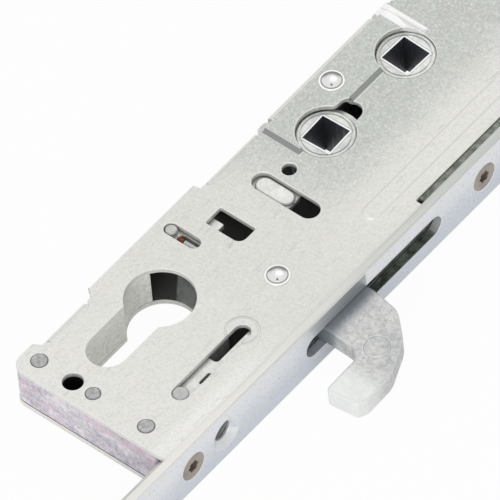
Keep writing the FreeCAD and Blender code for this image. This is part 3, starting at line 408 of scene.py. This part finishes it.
def makeHubSteel(name, spindle, turn):
    values = hubValues
    material, shader, place = startMaterial(name, values["metallic"])
    x, y, z = place.axes()
    angle = math.radians(turn)
    fromAxis = y - spindle
    across = (x * math.cos(angle) + fromAxis * math.sin(angle)).size()
    along = (fromAxis * math.cos(angle) - x * math.sin(angle)).size()
    square = across.maths("MAXIMUM", across, along)
    grain = noise(place, *values["grainNoise"])
    wear = noise(place, *values["wearNoise"]).step(0.35, 0.65)
    shade = (grain * 0.5 + wear * 0.5 - 0.2).clamped()
    colour = shade.blend(paint(values["pale"]), paint(values["shade"]))
    half = values["half"]
    rimWidth = values["rimWidth"]
    beyond = between(square, half + rimWidth, half + values["beyondReach"] * rimWidth, values["beyondSoft"])
    # painted highlight along the bore's edge
    rimHighlight = between(square, half, half + rimWidth, values["rimSoft"])
    colour = layered(colour, values, ((beyond, "beyond", 0.5), (rimHighlight, "rimHighlight", 1)))
    # painted shade inside the square bore, with faint streaks
    bore = square.step(half + values["boreSoft"][0], half + values["boreSoft"][1])
    streaks = noise(place, *values["streakNoise"]).step(0.54, 0.74) * 0.6
    colour = bore.blend(colour, streaks.blend(paint(values["bore"]), paint(values["streak"])))
    finishMaterial(shader, colour, grain * values["roughGrain"] + values["roughness"],
                   bump(grain, values["bumpHeight"], values["bumpStrength"]))
    return material


# Rivet heads: a bright dome with painted shade on the side away from the light, a bright set ring, a dark
# line inside it and a pip on the dome
rivetValues = {
    "dome": (252, 252, 250), "shade": (128, 132, 132), "ring": (236, 236, 232), "line": (120, 122, 122),
    "pip": (70, 72, 74), "grainNoise": (1300, 2, 0.6),
    "hookMiddle": (0.0181, 0.0218), "springMiddle": (-0.0084, 0.0745), "shadeTurn": (0.77, 0.64),
    "shadeLine": (0.0002, 0.0016), "shadeRadius": (0.0010, 0.0020), "ringRadius": (0.0026, 0.0028),
    "lineRadius": 0.00255, "lineHalf": 0.00016, "lineSoft": 0.00008,
    "pipOffset": (0.00106, -0.00129), "pipRadius": 0.00024, "pipSoft": 0.0001,
    "metallic": 0.35, "roughness": 0.22, "roughGrain": 0.2, "bumpHeight": 0.00001, "bumpStrength": 0.5,
}


def makeRivetSteel(name, middle):
    values = rivetValues
    material, shader, place = startMaterial(name, values["metallic"])
    x, y, z = place.axes()
    fromX = x - middle[0]
    fromY = y - middle[1]
    radius = distanceFrom(x, y, middle)
    grain = noise(place, *values["grainNoise"])
    turnY, turnX = values["shadeTurn"]
    # painted shade on the side of the dome away from the light
    shadedSide = (fromY * turnY - fromX * turnX).step(*values["shadeLine"]) * radius.step(*values["shadeRadius"])
    colour = (shadedSide * 0.85 + grain * 0.1).clamped().blend(paint(values["dome"]), paint(values["shade"]))
    lineLow = values["lineRadius"] - values["lineHalf"]
    lineHigh = values["lineRadius"] + values["lineHalf"]
    fromPip = distanceFrom(fromX, fromY, values["pipOffset"])
    colour = layered(colour, values, (
        (radius.step(*values["ringRadius"]), "ring", 1),
        (between(radius, lineLow, lineHigh, values["lineSoft"]), "line", 0.8),
        (fromPip.step(values["pipRadius"] + values["pipSoft"], values["pipRadius"]), "pip", 0.8),
    ))
    finishMaterial(shader, colour, grain * values["roughGrain"] + values["roughness"],
                   bump(grain, values["bumpHeight"], values["bumpStrength"]))
    return material


# Staked pins: grey ends, darker below where they meet the sheet
pinValues = {
    "end": (196, 197, 195), "shade": (160, 161, 160), "line": (96, 98, 98),
    "grainNoise": (900, 3, 0.7), "lineZ": (0.00674, 0.00668),
    "metallic": 0.35, "roughness": 0.35, "roughGrain": 0.25, "bumpHeight": 0.00004, "bumpStrength": 0.8,
}


def makeStakedSteel():
    values = pinValues
    material, shader, place = startMaterial("stakedSteel", values["metallic"])
    x, y, z = place.axes()
    grain = noise(place, *values["grainNoise"])
    colour = grain.step(0.35, 0.65).blend(paint(values["end"]), paint(values["shade"]))
    colour = layered(colour, values, ((z.step(*values["lineZ"]), "line", 0.75),))
    finishMaterial(shader, colour, grain * values["roughGrain"] + values["roughness"],
                   bump(grain, values["bumpHeight"], values["bumpStrength"]))
    return material


# Plain plated, drawn and moulded pieces: one mottled tone each, with the same noises and bump
plainValues = {
    "slideSteel": {"tone": (214, 214, 210), "shade": (182, 184, 180), "metallic": 0.5, "roughness": 0.23},
    "pinSteel": {"tone": (186, 187, 184), "shade": (150, 151, 149), "metallic": 0.45, "roughness": 0.23},
    "screwSteel": {"tone": (170, 160, 150), "shade": (122, 116, 110), "metallic": 0.6, "roughness": 0.23},
    "springSteel": {"tone": (130, 130, 130), "shade": (90, 90, 90), "metallic": 0.7, "roughness": 0.18},
    "copperWire": {"tone": (176, 104, 74), "shade": (128, 70, 50), "metallic": 0.7, "roughness": 0.23},
    "whitePlastic": {"tone": (236, 236, 232), "shade": (222, 222, 218), "metallic": 0.0, "roughness": 0.33},
    "latchZinc": {"tone": (210, 209, 204), "shade": (184, 183, 178), "metallic": 0.5, "roughness": 0.2},
}
plainSurface = {
    "mottleNoise": (190, 4, 0.6), "grainNoise": (1300, 2, 0.6), "roughGrain": 0.25,
    "bumpHeight": 0.00002, "bumpStrength": 0.6,
}


def makePlain(name):
    values = plainValues[name]
    material, shader, place = startMaterial(name, values["metallic"])
    mottle = noise(place, *plainSurface["mottleNoise"]).step(0.3, 0.7)
    grain = noise(place, *plainSurface["grainNoise"])
    shade = (mottle * 0.6 + grain * 0.5 - 0.25).clamped()
    colour = shade.blend(paint(values["tone"]), paint(values["shade"]))
    finishMaterial(shader, colour, grain * plainSurface["roughGrain"] + values["roughness"],
                   bump(grain, plainSurface["bumpHeight"], plainSurface["bumpStrength"]))
    return material


finishes = (
    (makeSheetZinc(), ("cover_plate", "base_plate")),
    (makePlateZinc(), ("faceplate",)),
    (makeBlockCasting(), ("end_block", "top_block", "screw_block")),
    (makeHookCasting(), ("hook", "hook_insert")),
    (makeRailSteel(), ("drive_rail",)),
    (makeHubSteel("lowerHub", hubValues["lowerSpindle"], hubValues["turn"]), ("lower_follower",)),
    (makeHubSteel("upperHub", hubValues["upperSpindle"], -hubValues["turn"]), ("upper_follower",)),
    (makeRivetSteel("hookRivetSteel", rivetValues["hookMiddle"]), ("hook_rivet",)),
    (makeRivetSteel("springRivetSteel", rivetValues["springMiddle"]), ("spring_rivet",)),
    (makeStakedSteel(), ("staked_pins",)),
    (makePlain("slideSteel"), ("hook_washers", "upper_slide_plate", "lower_slide_plate", "deadlock_slide")),
    (makePlain("pinSteel"), ("slide_guide_pin", "hook_drive_pin", "fork_drive_pins", "deadlock_pin")),
    (makePlain("screwSteel"), ("faceplate_screws",)),
    (makePlain("springSteel"), ("latch_spring", "return_spring")),
    (makePlain("copperWire"), ("deadlock_spring",)),
    (makePlain("whitePlastic"), ("detent_plunger", "latch_spring_seat", "spring_bush")),
    (makePlain("latchZinc"), ("latch_bolt",)),
)
for finish, names in finishes:
    for name in names:
        mesh = nodes[name].data
        mesh.materials.clear()
        mesh.materials.append(finish)
print("finishes on the frame's pieces")


def clearSelection():
    bpy.ops.object.select_all(action="DESELECT")


# Broken edges: a merged copy of a piece gets a small round along its sharp edges, in millimetres
edgeValues = {
    "cover_plate": {"round": 0.24, "body": "case", "slot": "zinc_plated_sheet", "level": 0.02},
    "base_plate": {"round": 0.22, "body": "case", "slot": "zinc_plated_sheet"},
    "end_block": {"round": 0.35, "body": "case", "slot": "cast_block"},
    "faceplate": {"round": 0.18, "body": "case", "slot": "faceplate_steel"},
    "drive_rail": {"round": 0.18, "body": "drive", "slot": "rail_steel"},
    "upper_slide_plate": {"round": 0.15, "body": "drive", "slot": "slide_steel"},
    "hook": {"round": 0.3, "body": "hook_bolt", "slot": "hook_casting"},
    "deadlock_slide": {"round": 0.2, "body": "deadlock", "slot": "slide_steel"},
    "latch_bolt": {"round": 0.3, "body": "latch", "slot": "latch_zinc"},
}
edgeSettings = {"segments": 2, "merge": 0.002, "flat": 0.6, "angle": 32, "smooth": 36}


def roundedCopy(name, values):
    clearSelection()
    made = nodes[name].copy()
    made.data = nodes[name].data.copy()
    made.parent = None
    made.matrix_world = Matrix.Identity(4)
    made.name = name + "_rounded"
    scene.collection.objects.link(made)
    bpy.context.view_layer.objects.active = made
    made.select_set(True)
    if "level" in values:
        # brings the raised top and its fold to one height
        highest = max(vertex.co.z for vertex in made.data.vertices)
        for vertex in made.data.vertices:
            if highest - vertex.co.z < values["level"] * millimetre:
                vertex.co.z = highest
    bpy.ops.object.mode_set(mode="EDIT")
    bpy.ops.mesh.select_all(action="SELECT")
    bpy.ops.mesh.remove_doubles(threshold=edgeSettings["merge"] * millimetre)
    bpy.ops.mesh.dissolve_limited(angle_limit=math.radians(edgeSettings["flat"]))
    bpy.ops.object.mode_set(mode="OBJECT")
    modifier = made.modifiers.new("edges", "BEVEL")
    modifier.width = values["round"] * millimetre
    modifier.segments = edgeSettings["segments"]
    modifier.limit_method = "ANGLE"
    modifier.angle_limit = math.radians(edgeSettings["angle"])
    modifier.use_clamp_overlap = False
    bpy.ops.object.modifier_apply(modifier=modifier.name)
    bpy.ops.object.shade_smooth_by_angle(angle=math.radians(edgeSettings["smooth"]))
    weighting = made.modifiers.new("even", "WEIGHTED_NORMAL")
    weighting.keep_sharp = True
    bpy.ops.object.modifier_apply(modifier=weighting.name)
    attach(made, values["body"])
    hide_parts(name)


for name, values in edgeValues.items():
    roundedCopy(name, values)
print("edges rounded")


# Floor and white surroundings
floorValues = {
    "size": 3.0, "drop": 0.3, "white": (0.9, 0.9, 0.9, 1), "glow": (1, 1, 1, 1), "shadow": 0.04,
}


def raySignals(tree):
    path = tree.nodes.new("ShaderNodeLightPath")
    names = ("Is Camera Ray", "Is Glossy Ray", "Is Transmission Ray")
    return [Signal(tree, path.outputs[name]) for name in names]


def makeFloor():
    height = cadBounds[0][2] - floorValues["drop"] * millimetre
    clearSelection()
    bpy.ops.mesh.primitive_plane_add(size=floorValues["size"], location=(0, 0, height))
    floor = bpy.context.object
    floor.name = "floor"
    bpy.ops.object.transform_apply(location=True)
    material = bpy.data.materials.new("floorWhite")
    material.use_nodes = True
    tree = material.node_tree
    signal = Signal(tree)
    diffuse = signal.node("ShaderNodeBsdfDiffuse", None, {"Color": floorValues["white"]})
    glow = signal.node("ShaderNodeEmission", None, {"Color": floorValues["glow"], "Strength": 1.0})
    camera, glossy, through = raySignals(tree)
    seen = (camera + glossy + through).clamped() * (1 - floorValues["shadow"])
    mixed = signal.node("ShaderNodeMixShader", None, {0: seen, 1: diffuse, 2: glow})
    tree.links.new(mixed.socket, tree.nodes["Material Output"].inputs["Surface"])
    floor.data.materials.append(material)


makeFloor()


worldValues = {"colour": (1, 1, 1, 1), "diffuse": 0.55, "seen": 1.0, "gloss": 0.3}


def makeWorld():
    world = bpy.data.worlds.new("whiteRoom")
    scene.world = world
    world.use_nodes = True
    tree = world.node_tree
    camera, glossy, through = raySignals(tree)
    seen = (camera + through).clamped() * (worldValues["seen"] - worldValues["diffuse"])
    strength = seen + glossy * worldValues["gloss"] + worldValues["diffuse"]
    background = tree.nodes["Background"]
    tree.links.new(strength.socket, background.inputs["Strength"])
    background.inputs["Color"].default_value = worldValues["colour"]


makeWorld()

# Camera at the photograph's angle
cameraValues = {
    "azimuth": 43.88, "elevation": 51.385, "roll": -5.648, "distance": 5.45,
    "target": (0.004237, 0.027744, 0.0), "sensor": 36.0, "focalPixels": 22988.0, "framePixels": 500,
    "far": 50,
}


def makeCamera():
    azimuth = math.radians(cameraValues["azimuth"])
    elevation = math.radians(cameraValues["elevation"])
    roll = math.radians(cameraValues["roll"])
    flat = math.cos(elevation)
    look = Vector((-math.sin(azimuth) * flat, math.cos(azimuth) * flat, -math.sin(elevation)))
    right = Vector((math.cos(azimuth), math.sin(azimuth), 0))
    up = right.cross(look)
    rolledRight = right * math.cos(roll) + up * math.sin(roll)
    rolledUp = up * math.cos(roll) - right * math.sin(roll)
    data = bpy.data.cameras.new("camera")
    data.sensor_width = cameraValues["sensor"]
    data.lens = cameraValues["focalPixels"] / cameraValues["framePixels"] * cameraValues["sensor"]
    data.clip_end = cameraValues["far"]
    camera = bpy.data.objects.new("camera", data)
    scene.collection.objects.link(camera)
    turn = Matrix((rolledRight, rolledUp, -look)).transposed().to_4x4()
    place = Vector(cameraValues["target"]) - look * cameraValues["distance"]
    camera.matrix_world = Matrix.Translation(place) @ turn
    scene.camera = camera


makeCamera()

lightAim = (0, 0.04, 0)
lightValues = {
    "key": {"place": (-0.5, 0.9, 1.3), "size": 0.7, "power": 3.0},
    "fill": {"place": (0.55, -1.2, 0.5), "size": 1.0, "power": 6.5},
}


def makeLight(name, values):
    data = bpy.data.lights.new(name, "AREA")
    data.size = values["size"]
    data.energy = values["power"]
    light = bpy.data.objects.new(name, data)
    scene.collection.objects.link(light)
    light.location = values["place"]
    light.rotation_euler = (Vector(lightAim) - light.location).to_track_quat("-Z", "Y").to_euler()


for lightName, lightSetting in lightValues.items():
    makeLight(lightName, lightSetting)
print("stage and lights")

scene.view_settings.view_transform = "Standard"

print("scene ready")
